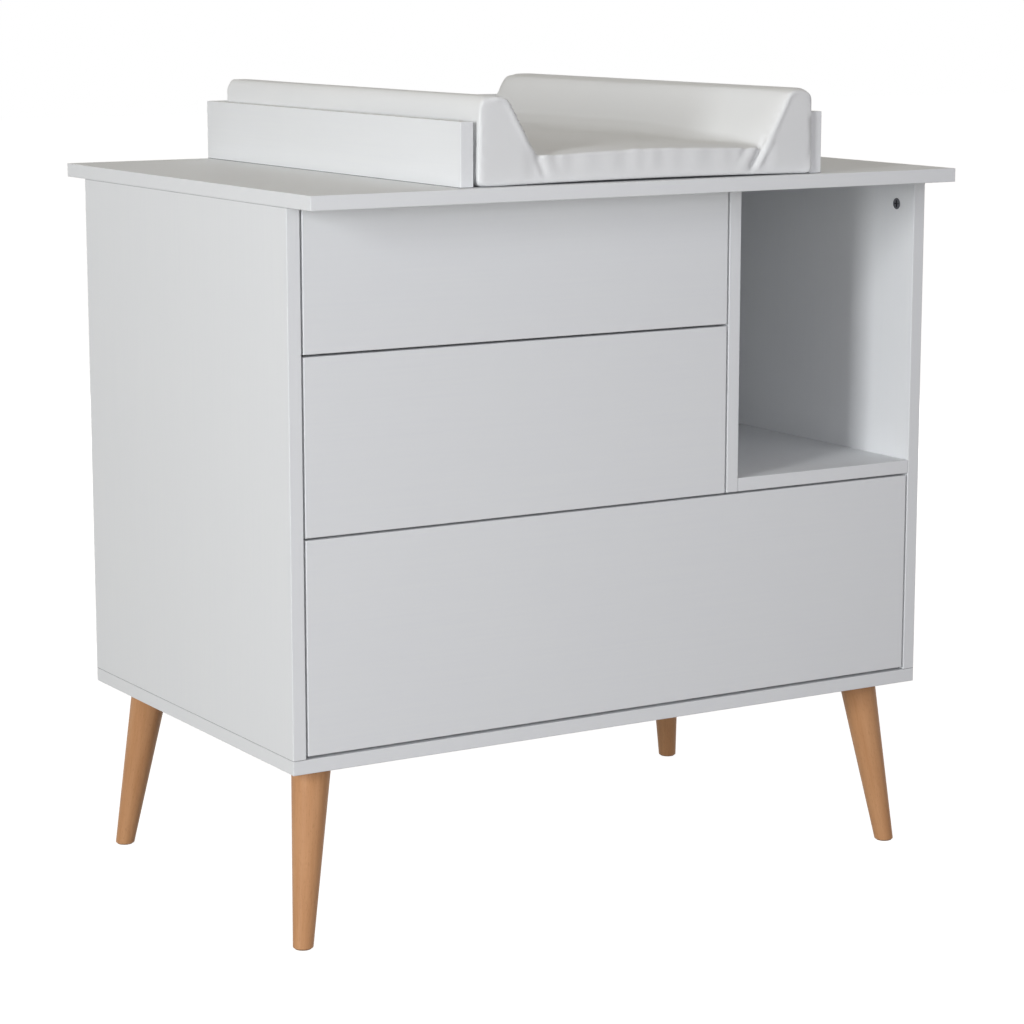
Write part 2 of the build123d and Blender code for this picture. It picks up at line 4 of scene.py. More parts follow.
import bpy
import numpy as np
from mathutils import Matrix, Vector


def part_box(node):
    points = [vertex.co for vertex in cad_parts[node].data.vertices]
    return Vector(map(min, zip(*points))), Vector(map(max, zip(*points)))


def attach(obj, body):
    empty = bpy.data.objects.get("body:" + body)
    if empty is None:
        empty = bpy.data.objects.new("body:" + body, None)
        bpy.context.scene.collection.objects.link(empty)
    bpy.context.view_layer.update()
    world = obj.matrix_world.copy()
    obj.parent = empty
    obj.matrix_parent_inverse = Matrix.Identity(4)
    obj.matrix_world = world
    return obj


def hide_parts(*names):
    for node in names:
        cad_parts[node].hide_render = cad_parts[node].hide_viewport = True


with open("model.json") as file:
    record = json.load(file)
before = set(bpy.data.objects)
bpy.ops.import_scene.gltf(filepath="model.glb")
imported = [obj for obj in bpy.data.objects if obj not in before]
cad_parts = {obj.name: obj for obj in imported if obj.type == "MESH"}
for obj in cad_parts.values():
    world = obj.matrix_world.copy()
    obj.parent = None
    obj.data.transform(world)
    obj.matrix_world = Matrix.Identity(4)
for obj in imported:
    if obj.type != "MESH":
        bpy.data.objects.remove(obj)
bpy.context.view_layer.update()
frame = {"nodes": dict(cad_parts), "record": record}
nodes = frame["nodes"]
subparts = frame["record"]["subparts"]
slot_of = {part["node"]: part["material_slot"] for part in subparts}

# Shared sizes in metres, from the frame
top_low, top_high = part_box("top_panel")
mat_low, mat_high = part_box("changing_mat")
tray_left_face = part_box("left_tray_board")[1].x
tray_right_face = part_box("right_tray_board")[0].x
tray_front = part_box("right_tray_board")[0].y
carcass_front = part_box("left_side_panel")[0].y


def new_object(name, data):
    """An object in the scene that shows the given data."""
    made = bpy.data.objects.new(name, data)
    bpy.context.scene.collection.objects.link(made)
    return made


# Shader maths


class Value:
    """A shader socket that adds, subtracts and multiplies as a number does."""

    def __init__(self, tree, socket):
        self.tree = tree
        self.socket = socket

    def combine(self, operation, first, second):
        made = self.tree.nodes.new("ShaderNodeMath")
        made.operation = operation
        connect(self.tree, made.inputs[0], first)
        connect(self.tree, made.inputs[1], second)
        return Value(self.tree, made.outputs[0])

    def __add__(self, other):
        return self.combine("ADD", self, other)

    def __radd__(self, other):
        return self.combine("ADD", other, self)

    def __sub__(self, other):
        return self.combine("SUBTRACT", self, other)

    def __rsub__(self, other):
        return self.combine("SUBTRACT", other, self)

    def __mul__(self, other):
        return self.combine("MULTIPLY", self, other)

    def __rmul__(self, other):
        return self.combine("MULTIPLY", other, self)


def connect(tree, place, value):
    """Link a socket to a place, or write a plain value there."""
    if isinstance(value, Value):
        tree.links.new(value.socket, place)
    else:
        place.default_value = value


class Shading:
    """A shader tree under construction. Its nodes come from one method, apart from those of its maths."""

    def __init__(self, tree):
        self.tree = tree

    def node(self, kind, settings, inputs, *outputs):
        """Add a node: its settings first, then its sockets. Give back the outputs that are asked for."""
        made = self.tree.nodes.new(kind)
        for key, value in settings.items():
            if key == "stops":
                self.set_stops(made.color_ramp, value)
            else:
                setattr(made, key, value)
        for key, value in inputs.items():
            connect(self.tree, made.inputs[key], value)
        found = [Value(self.tree, made.outputs[key]) for key in outputs]
        return found[0] if len(found) == 1 else found

    def set_stops(self, ramp, stops):
        while len(ramp.elements) < len(stops):
            ramp.elements.new(0.5)
        for element, (place, tone) in zip(ramp.elements, stops):
            element.position = place
            element.color = tone

    def parts_of(self, position):
        """The three coordinates of a position."""
        return self.node("ShaderNodeSeparateXYZ", {}, {0: position}, 0, 1, 2)

    def seen(self):
        """1 for rays that show a surface to the camera, straight or by way of a mirror or glass."""
        kinds = ("Is Camera Ray", "Is Glossy Ray", "Is Transmission Ray")
        straight, mirrored, through = self.node("ShaderNodeLightPath", {}, {}, *kinds)
        return straight + mirrored + through


class Finish(Shading):
    """A material under construction, with one main shader."""

    def __init__(self, name):
        self.material = bpy.data.materials.new(name)
        self.material.use_nodes = True
        super().__init__(self.material.node_tree)
        self.shader = self.tree.nodes["Principled BSDF"]
        self.position = self.node("ShaderNodeTexCoord", {}, {}, "Object")

    def set(self, **inputs):
        """Set the main shader's sockets, named with underscores for spaces."""
        for key, value in inputs.items():
            connect(self.tree, self.shader.inputs[key.replace("_", " ")], value)

    def stretched(self, position, scale):
        return self.node("ShaderNodeMapping", {}, {"Vector": position, "Scale": scale}, "Vector")

    def noise(self, position, scale, detail=2.0, roughness=0.5):
        inputs = {"Vector": position, "Scale": scale, "Detail": detail, "Roughness": roughness}
        return self.node("ShaderNodeTexNoise", {}, inputs, 0)

    def ramp(self, value, *stops):
        grey = [(place, (level, level, level, 1.0)) for place, level in stops]
        return self.node("ShaderNodeValToRGB", {"stops": grey}, {0: value}, 0)

    def blend(self, factor, first, second):
        """Mix two colours."""
        settings = {"data_type": "RGBA"}
        return self.node("ShaderNodeMix", settings, {0: factor, 6: first, 7: second}, 2)

    def bump(self, height, strength, distance, edge=0.0):
        """Raise the surface by a height, over edges that look rounded by the given radius."""
        inputs = {"Height": height, "Strength": strength, "Distance": distance}
        if edge:
            inputs["Normal"] = self.node("ShaderNodeBevel", {"samples": 4}, {"Radius": edge}, "Normal")
        self.set(Normal=self.node("ShaderNodeBump", {}, inputs, "Normal"))

    def band(self, value, place, reach):
        """1 where a value is within reach of a place, 0 elsewhere."""
        inputs = {0: value, 1: place, 2: reach}
        return self.node("ShaderNodeMath", {"operation": "COMPARE"}, inputs, 0)

    def joined(self, x, y, z):
        return self.node("ShaderNodeCombineXYZ", {}, {0: x, 1: y, 2: z}, 0)


def colour(red, green, blue):
    """A colour given as it shows on screen, in 0 to 255."""

    def linear(level):
        level = level / 255
        if level <= 0.04045:
            return level / 12.92
        return ((level + 0.055) / 1.055) ** 2.4

    return (linear(red), linear(green), linear(blue), 1.0)


# Finishes

# The look of panel edges, and the painted shade at the joints between panels: how far it reaches, and its
# colour at a tight joint and at an open one
panel_edge = 0.0011
painted_seam_shade_reach = 0.0009
tight_joint_painted_shade = colour(204, 206, 208)
open_joint_painted_shade = colour(146, 148, 150)

# Stretch of a grain that runs up, across or from front to rear, and one that runs no way
upright_grain = (1.0, 1.0, 0.02)
across_grain = (0.02, 1.0, 1.0)
deep_grain = (1.0, 0.02, 1.0)
even_grain = (1.0, 1.0, 1.0)

# How far a leg's axis moves outwards on its way down, and how far apart the legs lie in the wood
leg_splay = 0.031
plank_step_x = 1.7
plank_step_y = 0.6


def white_melamine(name, grain, painted_seam_shades=()):
    """Matt white melamine with a fine pearl emboss, faint streaks along the board and painted shade in the
    joints at its ends.
    """
    finish = Finish(name)
    coordinates = finish.parts_of(finish.position)
    along = finish.stretched(finish.position, grain)
    streaks = finish.noise(along, scale=260.0, detail=3.0, roughness=0.6)
    clouds = finish.noise(finish.position, scale=7.0)
    pearl = finish.noise(finish.position, scale=1500.0, roughness=0.55)
    shade = finish.ramp(streaks * 0.7 + clouds * 0.3, (0.3, 0.0), (0.7, 1.0))
    white = finish.blend(shade, colour(233, 235, 237), colour(235, 237, 238))
    # Painted shade: a dark band in each joint at the board's ends, where shade falls between the panels
    for axis, place, painted_shade_colour in painted_seam_shades:
        white = finish.blend(finish.band(coordinates[axis], place, painted_seam_shade_reach), white, painted_shade_colour)
    finish.set(
        Base_Color=white,
        Roughness=0.44 + pearl * 0.12 + streaks * 0.02,
        Specular_IOR_Level=0.04,
    )
    finish.bump(pearl * 0.98 + streaks * 0.02, strength=0.12, distance=0.0003, edge=panel_edge)
    return finish.material


def white_hardboard():
    """Thin painted hardboard: flatter and a little greyer, with pressed fibres."""
    finish = Finish("white_hardboard")
    along = finish.stretched(finish.position, (1.0, 1.0, 0.35))
    fibres = finish.noise(along, scale=900.0, detail=4.0, roughness=0.65)
    finish.set(
        Base_Color=finish.blend(fibres, colour(218, 220, 222), colour(228, 229, 230)),
        Roughness=0.55 + fibres * 0.12,
    )
    finish.bump(fibres, strength=0.2, distance=0.0004)
    return finish.material


def leg_beech(name, lean, seed):
    """Varnished beech whose grain follows a leaning leg, with short dark flecks."""
    finish = Finish(name)
    x, y, z = finish.parts_of(finish.position)
    along = finish.joined(x + z * lean[0] + seed, y + z * lean[1] + seed, z)
    growth = finish.noise(finish.stretched(along, (1.0, 1.0, 0.045)), scale=95.0, detail=4.0, roughness=0.6)
    fine = finish.noise(finish.stretched(along, (1.0, 1.0, 0.03)), scale=520.0, detail=3.0, roughness=0.6)
    flecks = finish.noise(finish.stretched(along, (1.0, 1.0, 0.16)), scale=900.0, detail=1.0)
    fleck_mask = finish.ramp(flecks, (0.60, 0.0), (0.70, 1.0))
    patch = finish.noise(finish.stretched(along, (1.0, 1.0, 0.25)), scale=22.0)
    band = finish.ramp(growth * 0.55 + patch * 0.3 + fine * 0.15, (0.35, 0.0), (0.65, 1.0))
    wood = finish.blend(band, colour(184, 132, 88), colour(203, 153, 109))
    finish.set(
        Base_Color=finish.blend(fleck_mask * 0.22, wood, colour(146, 98, 60)),
        Roughness=0.46 + fine * 0.14,
        Specular_IOR_Level=0.32,
        Coat_Weight=0.05,
        Coat_Roughness=0.3,
    )
    finish.bump(fine * 0.6 - fleck_mask * 0.4, strength=0.12, distance=0.0004)
    return finish.material


def raw_beech():
    """Unvarnished dowel wood."""
    finish = Finish("raw_beech")
    grain = finish.noise(finish.stretched(finish.position, (1.0, 1.0, 0.1)), scale=600.0, detail=3.0)
    finish.set(
        Base_Color=finish.blend(grain, colour(205, 168, 124), colour(222, 188, 146)),
        Roughness=0.7,
    )
    finish.bump(grain, strength=0.2, distance=0.0003)
    return finish.material


def coated_cover():
    """Wipe-clean coated cover: nearly matt, with a fine pebbled grain and faint cloudiness."""
    finish = Finish("mat_cover")
    grain_inputs = {"Vector": finish.position, "Scale": 620.0}
    pebbles = finish.node("ShaderNodeTexVoronoi", {"feature": "SMOOTH_F1"}, grain_inputs, 0)
    fine = finish.noise(finish.position, scale=1800.0)
    clouds = finish.noise(finish.position, scale=9.0, detail=3.0)
    finish.set(
        Base_Color=finish.blend(clouds, colour(230, 232, 233), colour(235, 236, 236)),
        Roughness=0.40 + pebbles * 0.10 + clouds * 0.06,
        Specular_IOR_Level=0.04,
    )
    finish.bump(pebbles * 0.7 + fine * 0.3, strength=0.12, distance=0.0003)
    return finish.material


def plated_steel(name, level, roughness, grain):
    """Zinc-plated steel of a given brightness, with fine drawing marks and a cloudy plating."""
    finish = Finish(name)
    marks = finish.noise(finish.stretched(finish.position, grain), scale=700.0, detail=3.0)
    clouds = finish.noise(finish.position, scale=35.0, detail=3.0)
    low = colour(level - 18, level - 17, level - 14)
    high = colour(level + 12, level + 12, level + 12)
    finish.set(
        Base_Color=finish.blend(marks * 0.5 + clouds * 0.5, low, high),
        Metallic=1.0,
        Roughness=roughness + clouds * 0.14,
    )
    finish.bump(marks, strength=0.1, distance=0.0002)
    return finish.material


def cast_zinc_with_painted_shade():
    """Dull cams with a cast skin, and painted shade that turns their recesses nearly black."""
    finish = Finish("cam_zinc")
    skin = finish.noise(finish.position, scale=900.0, detail=3.0)
    metal = finish.blend(skin, colour(104, 106, 112), colour(132, 134, 140))
    # Painted shade: ambient occlusion darkens the recesses and the gap round the cam nearly to black
    occlusion_for_painted_shade = finish.node("ShaderNodeAmbientOcclusion", {"samples": 8}, {"Distance": 0.003}, "AO")
    clear_of_painted_shade = finish.ramp(occlusion_for_painted_shade, (0.55, 0.0), (0.85, 1.0))
    finish.set(
        Base_Color=finish.blend(clear_of_painted_shade, colour(20, 20, 22), metal),
        Metallic=0.55,
        Roughness=0.42 + skin * 0.2,
    )
    finish.bump(skin, strength=0.25, distance=0.0003)
    return finish.material


def moulded_plastic(name, dark, light):
    """Moulded plastic with a spark-eroded grain."""
    finish = Finish(name)
    grain = finish.noise(finish.position, scale=1100.0)
    finish.set(Base_Color=finish.blend(grain, dark, light), Roughness=0.5 + grain * 0.12)
    finish.bump(grain, strength=0.2, distance=0.0003)
    return finish.material


def bracket_paint():
    """White powder coat."""
    finish = Finish("bracket_paint")
    peel = finish.noise(finish.position, scale=480.0)
    finish.set(
        Base_Color=finish.blend(peel, colour(220, 221, 222), colour(232, 232, 233)),
        Roughness=0.38 + peel * 0.1,
    )
    finish.bump(peel, strength=0.25, distance=0.0004)
    return finish.material


def leg_finish(name):
    """A leg's own beech, leaning as the leg does, from its own place in the wood."""
    low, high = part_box(name)
    lean = leg_splay / (high.z - low.z)
    side = 1.0 if high.x > 0 else -1.0
    end = 1.0 if high.y > (top_low.y + top_high.y) / 2 else -1.0
    seed = plank_step_x * side + plank_step_y * end
    return leg_beech(f"beech_{name}", (side * lean, end * lean), seed)


def dress_frame():
    """Give every piece of the frame its finish, and give back those that go by the slot alone."""
    side_low, side_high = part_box("left_side_panel")
    shelf_low, shelf_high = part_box("compartment_shelf")
    # Painted shade in the joints at the ends of the sides, the shelf and the tray boards
    side_painted_seam_shades = ((2, side_low.z, open_joint_painted_shade), (2, side_high.z, tight_joint_painted_shade))
    shelf_painted_seam_shades = ((0, shelf_low.x, tight_joint_painted_shade), (0, shelf_high.x, tight_joint_painted_shade))
    tray_painted_seam_shades = ((2, top_high.z, open_joint_painted_shade),)
    upright = white_melamine("white_melamine_upright", upright_grain, side_painted_seam_shades)
    across = white_melamine("white_melamine_across", across_grain)
    deep = white_melamine("white_melamine_deep", deep_grain)
    shelf = white_melamine("white_melamine_shelf", deep_grain, shelf_painted_seam_shades)
    tray = white_melamine("white_melamine_tray", deep_grain, tray_painted_seam_shades)
    own_finish = {
        "left_side_panel": upright,
        "right_side_panel": upright,
        "divider_panel": upright,
        "compartment_shelf": shelf,
        "left_tray_board": tray,
        "right_tray_board": tray,
    }
    finishes = {
        "white_hardboard": white_hardboard(),
        "dowel_wood": raw_beech(),
        "mat_cover": coated_cover(),
        "slide_steel": plated_steel("slide_steel", level=196, roughness=0.26, grain=deep_grain),
        "fastener_steel": plated_steel("fastener_steel", level=188, roughness=0.3, grain=even_grain),
        "cam_zinc": cast_zinc_with_painted_shade(),
        "bracket_steel": bracket_paint(),
        "glide_plastic": moulded_plastic("glide_plastic", colour(112, 84, 60), colour(132, 102, 76)),
        "push_unit_plastic": moulded_plastic("push_unit_plastic", colour(92, 94, 98), colour(112, 114, 118)),
    }
    for name, node in nodes.items():
        slot = slot_of[name]
        if slot == "white_melamine":
            finish = own_finish.get(name, across)
            if name.endswith(("left_side", "right_side")):
                finish = deep
        elif slot == "leg_wood":
            finish = leg_finish(name)
        else:
            finish = finishes[slot]
        node.data.materials.clear()
        node.data.materials.append(finish)
    return finishes


# Changing mat
#
# Lengths are in metres. A height is above the mat's base, a span is a distance from its middle, a depth is
# from its front, a back is a share of its length, and a turn is a part of the normal. Such a pair of values
# says where a weight starts and where it is full.

# The copy of the solid that a cloth run swells
merge_distance = 0.00001
voxel_size = 0.0065
shrink = 0.001
held_height = 0.006
swell_limit = 0.0025
swell_frames = 20
least_length = 1e-9
cloth_settings = {
    "quality": 5,
    "mass": 0.4,
    "tension_stiffness": 40.0,
    "compression_stiffness": 40.0,
    "shear_stiffness": 20.0,
    "bending_stiffness": 2.0,
    "use_pressure": True,
    "uniform_pressure_force": 4.0,
}

# Its box in the tray: free of the boards, ahead of their front, past the solid's rear and below its crest
tray_gap = 0.0008
front_overhang = 0.0055
rear_growth = 0.0004
crest_sink = 0.0020
fit_rounds = 5

# Upright outer sides, and the curve of their top corners
side_turn = (0.55, 0.95)
side_height = (0.0, 0.015)
corner_width = 0.011
corner_drop = 0.018

# Tops of the raised sides, filled out to that curve
top_turn = (0.1, 0.4)
top_span = (0.215, 0.228)
top_end_turn = (0.2, 0.5)

# Drooping rear ends of the raised sides, lifted slice by slice
slice_depth = 0.004
droop_limit = 0.006
droop_height = (0.06, 0.10)
droop_back = (0.5, 0.7)

# Flat front ends of the raised sides
end_inset = 0.0010
end_turn = (0.75, 0.97)
end_span = (0.172, 0.195)
end_height = (0.0, 0.012)

# Upright edges between those ends and the outer sides
upright_radius = 0.003
upright_turn = (0.12, 0.3)
upright_span = (0.215, 0.225)
level_turn = (0.5, 0.85)
least_turn = 0.01

# The foot of the slopes: its place, the rise of a slope, and how round the foot is at the front and behind
foot_place = 0.170
slope_rise = 1.95
sharp_foot = 0.0024
foot_softness = 0.0085
soft_back = (0.04, 0.45)

# The skew of the trough, which is wider at the front, and the lean of the outer sides there
drift_front = 0.0065
drift_change = 0.0165
inside_power = 6
widening = 0.005
widening_span = (0.12, 0.17)
widening_height = (0.05, 0.105)
outer_span = (0.205, 0.248)
lean_left = 0.0015
lean_right = -0.0012
lean_height = (0.0, 0.105)
slack_left = 0.0042
skew_back = (0.0, 0.9)

# Tight edges of the cover round the front
cover_rounds = 2
edge_tightness = 0.011
edge_depth = (0.014, 0.024)
edge_height = (0.0, 0.014)
outward_turn = (0.1, 0.3)

# Pleats across the front, two waves of which the first wanders
pleat_size = 0.0006
pleat_share = 0.6
pleat_pitch = 190.0
pleat_wander = 1.1
wander_pitch = 41.0
broad_pitch = 87.0
broad_phase = 1.9
pleat_turn = (0.35, 0.8)
pleat_span = (0.150, 0.178)
pleat_height = (0.002, 0.030)

# Creases at the front corners: the side, the foot's distance from the middle, the slant and the size
corner_creases = ((-1.0, 0.165, 0.34, 0.0017), (1.0, 0.177, 0.62, 0.0055))
crease_level = 0.040
crease_start = (0.002, 0.018)
crease_end = (0.040, 0.052)
crease_turn = (0.2, 0.7)

# What a crease is made of: the place and the width of each hump, and its size or its share of the crease
valley_hump = (0.0, 0.004)
swelling_hump = (0.013, 0.009)
swelling_size = 0.0010
ridge_hump = (-0.009, 0.004)
ridge_share = 0.45
second_hump = (0.024, 0.006)
second_share = 0.4
second_start = (0.010, 0.034)

# Shallow dips in the lying surface
dip_size = 0.0010
dip_pitch_across = 31.0
dip_wander = 1.2
dip_wander_pitch = 17.0
dip_pitch_along = 23.0
dip_phase = 0.5
lying_turn = (0.9, 0.99)
lying_span = (0.14, 0.17)

# Outer shoulders at the front, evened out
shoulder_rounds = 6
shoulder_span = (0.222, 0.234)
shoulder_depth = (0.012, 0.022)
shoulder_height = (0.074, 0.086)

# The front hem, lifted in an arch
hem_lift = 0.0022
hem_middle = 0.01
hem_half_width = 0.235
hem_depth = (0.0, 0.090)
hem_height = (0.0, 0.036)

# The low front corners, drawn out into tips
tip_place = 0.250
tip_reach = 0.009
tip_outwards = 0.0025
tip_forwards = 0.0030

# How near the finished cover may come to the right board, and how far past the solid's rear
right_gap = 0.0006
rear_limit = 0.0006


def copy_of_solid(node_name, name):
    """A new object with a merged copy of a solid's mesh."""
    piece = new_object(name, nodes[node_name].data.copy())
    bpy.ops.object.select_all(action="DESELECT")
    bpy.context.view_layer.objects.active = piece
    piece.select_set(True)
    bpy.ops.object.mode_set(mode="EDIT")
    bpy.ops.mesh.select_all(action="SELECT")
    bpy.ops.mesh.remove_doubles(threshold=merge_distance)
    bpy.ops.mesh.normals_make_consistent(inside=False)
    bpy.ops.object.mode_set(mode="OBJECT")
    return piece


def apply_modifier(piece, kind, **settings):
    made = piece.modifiers.new(kind.lower(), kind)
    for key, value in settings.items():
        setattr(made, key, value)
    bpy.context.view_layer.objects.active = piece
    bpy.ops.object.modifier_apply(modifier=made.name)


def vectors_of(piece, kind):
    """The vertices' places (co) or normals (normal), one row each."""
    vectors = np.zeros(len(piece.data.vertices) * 3)
    piece.data.vertices.foreach_get(kind, vectors)
    return vectors.reshape(-1, 3)


def points_of(piece):
    return vectors_of(piece, "co")


def normals_of(piece):
    return vectors_of(piece, "normal")


def set_points(piece, places):
    piece.data.vertices.foreach_set("co", places.reshape(-1))
    piece.data.update()


def eased(piece, values, rounds):
    """Vectors at the vertices, averaged with those of their neighbours for some rounds."""
    count = len(values)
    ends = np.zeros(len(piece.data.edges) * 2, dtype=np.int32)
    piece.data.edges.foreach_get("vertices", ends)
    first, second = ends.reshape(-1, 2).T
    neighbours = np.bincount(ends, minlength=count)
    values = values.copy()
    for step in range(rounds):
        for axis in range(3):
            level = values[:, axis].copy()
            total = np.bincount(first, level[second], count) + np.bincount(second, level[first], count)
            values[:, axis] = (level + total / neighbours) / 2
    return values


def eased_normals(piece, rounds):
    normals = eased(piece, normals_of(piece), rounds)
    return normals / np.linalg.norm(normals, axis=1, keepdims=True)


def smooth_step(value, low, high):
    """0 below low, 1 above high, smooth between."""
    share = np.clip((value - low) / (high - low), 0.0, 1.0)
    return share * share * (3.0 - 2.0 * share)


def hump(value, place, width):
    """1 at a place, falling smoothly to 0 on both sides."""
    return np.exp(-(((value - place) / width) ** 2))


def quarter_round(share):
    """How far a quarter of a circle has fallen at a share of its width."""
    return 1.0 - np.sqrt(1.0 - share**2)


def bend(past_foot, roundness):
    """Height of a slope that starts at 0, with a foot of the given roundness."""
    return slope_rise * roundness * np.log1p(np.exp(past_foot / roundness))


def swell(piece):
    """Blow the cover up a little with a cloth run, its flat base held still."""
    before = points_of(piece)
    base = piece.vertex_groups.new(name="base")
    held = np.nonzero(before[:, 2] < mat_low.z + held_height)[0]
    base.add([int(index) for index in held], 1.0, "REPLACE")
    cloth = piece.modifiers.new("cover", "CLOTH")
    for key, value in cloth_settings.items():
        setattr(cloth.settings, key, value)
    cloth.settings.vertex_group_mass = base.name
    cloth.settings.effector_weights.gravity = 0.0
    cloth.point_cache.frame_end = swell_frames
    scene = bpy.context.scene
    for step in range(1, swell_frames + 1):
        scene.frame_set(step)
    bpy.context.view_layer.objects.active = piece
    bpy.ops.object.modifier_apply(modifier=cloth.name)
    scene.frame_set(1)
    move = points_of(piece) - before
    length = np.maximum(np.linalg.norm(move, axis=1, keepdims=True), least_length)
    move *= swell_limit * np.tanh(length / swell_limit) / length
    set_points(piece, before + move)
    piece.vertex_groups.clear()


class TrayFit:
    """The swollen mat's vertices while they are fitted between the tray boards."""

    def __init__(self, piece):
        swollen = points_of(piece)
        low = swollen.min(axis=0)
        high = swollen.max(axis=0)
        share = (swollen - low) / (high - low)
        new_low = np.array((tray_left_face + tray_gap, tray_front - front_overhang, mat_low.z))
        new_high = np.array((tray_right_face - tray_gap, mat_high.y + rear_growth, mat_high.z - crest_sink))
        self.places = new_low + share * (new_high - new_low)
        self.front = new_low[1]
        self.rear = new_high[1]
        self.end_plane = self.front + end_inset
        self.middle = (new_low[0] + new_high[0]) / 2
        self.half = (new_high[0] - new_low[0]) / 2
        self.crest = new_high[2] - mat_low.z
        self.back = share[:, 1]
        self.height = self.places[:, 2] - mat_low.z
        self.measure_width()
        normals = eased_normals(piece, fit_rounds)
        self.outward = np.maximum(normals[:, 0] * self.side, 0.0)
        self.facing = np.maximum(-normals[:, 1], 0.0)
        self.lengthways = np.abs(normals[:, 1])
        self.upward = np.maximum(normals[:, 2], 0.0)

    def measure_width(self):
        self.x = self.places[:, 0] - self.middle
        self.side = np.sign(self.x)
        self.width = np.abs(self.x)

    def square_sides(self):
        """Set the outer sides upright, turning in at the top by the corner's curve."""
        above = np.clip((self.height - (self.crest - corner_drop)) / corner_drop, 0.0, 1.0)
        self.side_half = self.half - corner_width * quarter_round(above)
        side_face = smooth_step(self.outward, *side_turn) * smooth_step(self.height, *side_height)
        self.places[:, 0] += self.side * (self.side_half - self.width) * side_face
        self.measure_width()

    def fill_corners(self):
        """Raise the tops of the raised sides to the same curve."""
        past = np.clip((self.width - (self.half - corner_width)) / corner_width, 0.0, 1.0)
        full = self.crest - corner_drop * quarter_round(past)
        top_face = smooth_step(self.upward, *top_turn) * smooth_step(self.width, *top_span)
        top_face *= 1.0 - smooth_step(self.lengthways, *top_end_turn)
        self.places[:, 2] += np.maximum(full - self.height, 0.0) * top_face

    def lift_rear(self):
        """Bring the rear ends of the raised sides up to the crest, slice by slice."""
        steps = np.arange(self.front, self.rear + slice_depth, slice_depth)
        which = np.clip((self.places[:, 1] - self.front) / slice_depth, 0, len(steps) - 1).astype(int)
        tops = np.zeros(len(steps))
        np.maximum.at(tops, which, self.places[:, 2] - mat_low.z)
        highest = np.interp(self.places[:, 1], steps + slice_depth / 2, tops)
        droop = np.clip(self.crest - highest, 0.0, droop_limit)
        rear_top = smooth_step(self.height, *droop_height) * smooth_step(self.back, *droop_back)
        self.places[:, 2] += droop * rear_top

    def flatten_ends(self):
        """Set the front ends of the raised sides in one plane."""
        end_face = smooth_step(self.facing, *end_turn) * smooth_step(self.width, *end_span)
        end_face *= smooth_step(self.height, *end_height)
        self.places[:, 1] += (self.end_plane - self.places[:, 1]) * end_face

    def round_upright_edges(self):
        """Give the upright edges of those ends one small radius."""
        level = np.maximum(np.hypot(self.outward, self.facing), least_turn)
        upright = smooth_step(np.minimum(self.outward, self.facing) / level, *upright_turn)
        upright *= smooth_step(self.height, *end_height) * smooth_step(self.width, *upright_span)
        upright *= 1.0 - smooth_step(self.upward, *level_turn)
        corner_x = self.side * (self.side_half - upright_radius * (1.0 - self.outward / level))
        corner_y = self.end_plane + upright_radius * (1.0 - self.facing / level)
        self.places[:, 0] += (corner_x - self.x) * upright
        self.places[:, 1] += (corner_y - self.places[:, 1]) * upright

    def soften_foot(self):
        """Round the foot of the slopes more and more towards the rear."""
        soft = foot_softness * smooth_step(self.back, *soft_back)
        past_foot = self.width - foot_place
        lift = bend(past_foot, sharp_foot + soft) - bend(past_foot, sharp_foot)
        self.places[:, 2] += lift * smooth_step(self.upward, *top_turn)

    def skew_trough(self):
        """Turn the trough a little, and widen it and lean the outer sides towards the front."""
        inside = 1.0 - (self.width / self.half) ** inside_power
        drift = drift_front - drift_change * self.back
        widen = widening * self.side * smooth_step(self.width, *widening_span)
        widen *= smooth_step(self.height, *widening_height)
        outer = smooth_step(self.width, *outer_span)
        lean = np.where(self.x < 0.0, lean_left, lean_right) * outer * smooth_step(self.height, *lean_height)
        slack = np.where(self.x < 0.0, slack_left, 0.0) * outer
        ahead = 1.0 - smooth_step(self.back, *skew_back)
        self.places[:, 0] += drift * inside + (widen * inside + lean + slack) * ahead


def fill_tray(piece):
    """Give the swollen mat its width and length between the tray boards, and its slightly skew trough."""
    fit = TrayFit(piece)
    fit.square_sides()
    fit.fill_corners()
    fit.lift_rear()
    fit.flatten_ends()
    fit.round_upright_edges()
    fit.soften_foot()
    fit.skew_trough()
    set_points(piece, fit.places)


